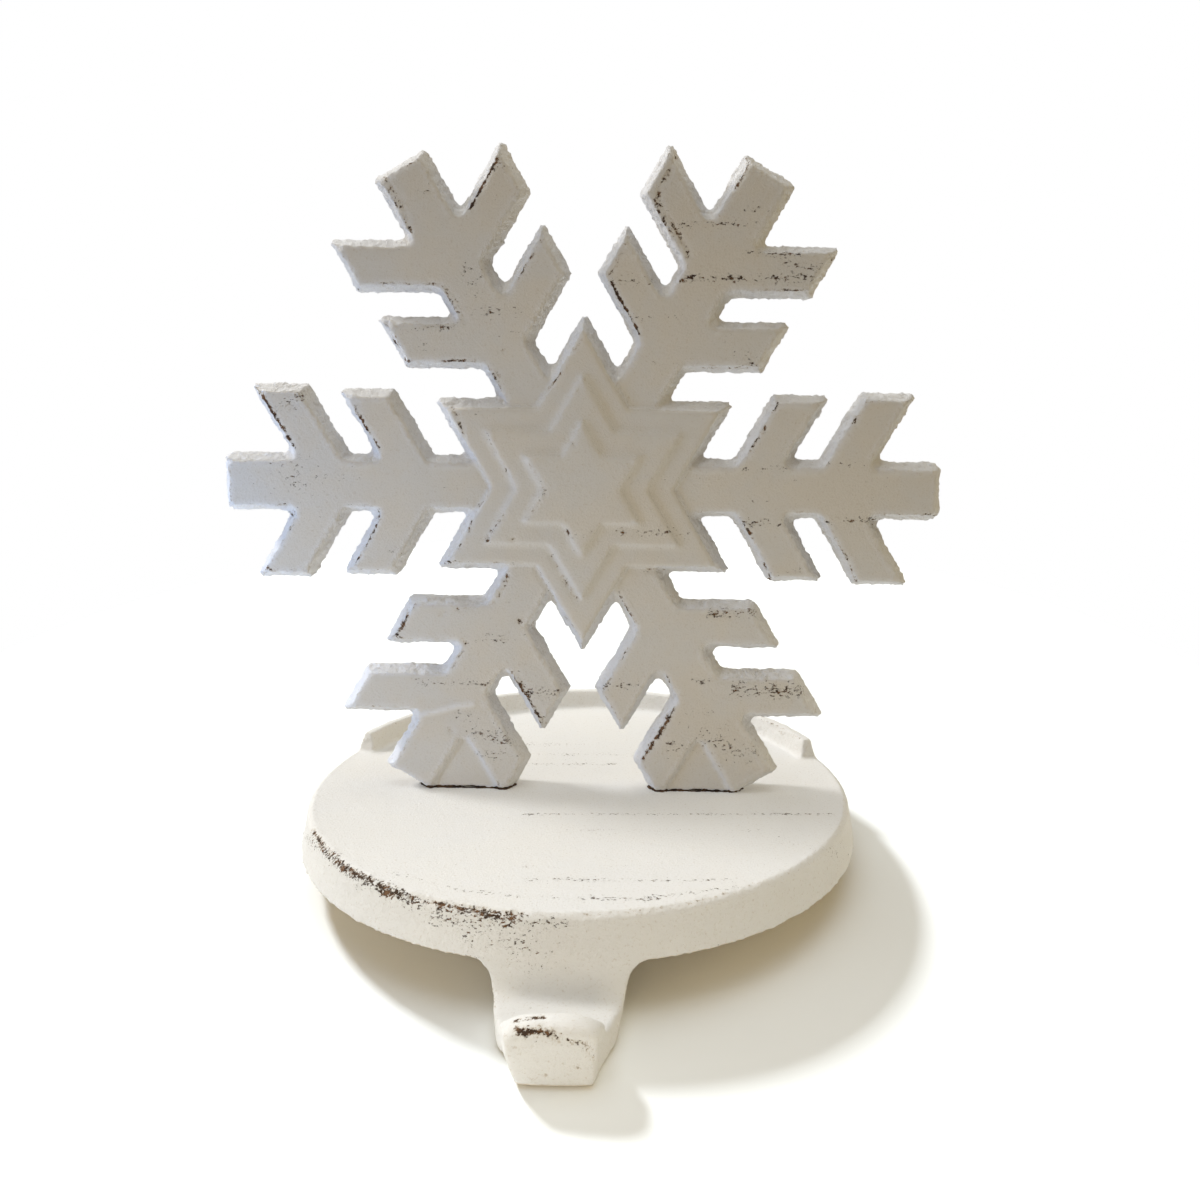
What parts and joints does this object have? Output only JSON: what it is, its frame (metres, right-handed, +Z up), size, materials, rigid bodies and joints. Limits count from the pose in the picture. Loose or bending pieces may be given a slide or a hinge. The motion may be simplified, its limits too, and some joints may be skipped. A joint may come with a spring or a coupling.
{
  "type": "mantel stocking holder",
  "caption": "Cast iron mantel stocking holder: an upright snowflake on a round base with a hook at the front, in worn white paint.",
  "frame": {"origin": "centre of the base's flat underside", "axes": "+Z up, -Y towards the hook at the front, X across the snowflake"},
  "size_m": [0.1484, 0.1336, 0.155],
  "materials": {
    "painted_iron": "matt",
    "screw_steel": "satin"
  },
  "bodies": {
    "root": {"base_casting": "painted_iron", "snowflake": "painted_iron", "foot_screws": "screw_steel"}
  },
  "joints": []
}
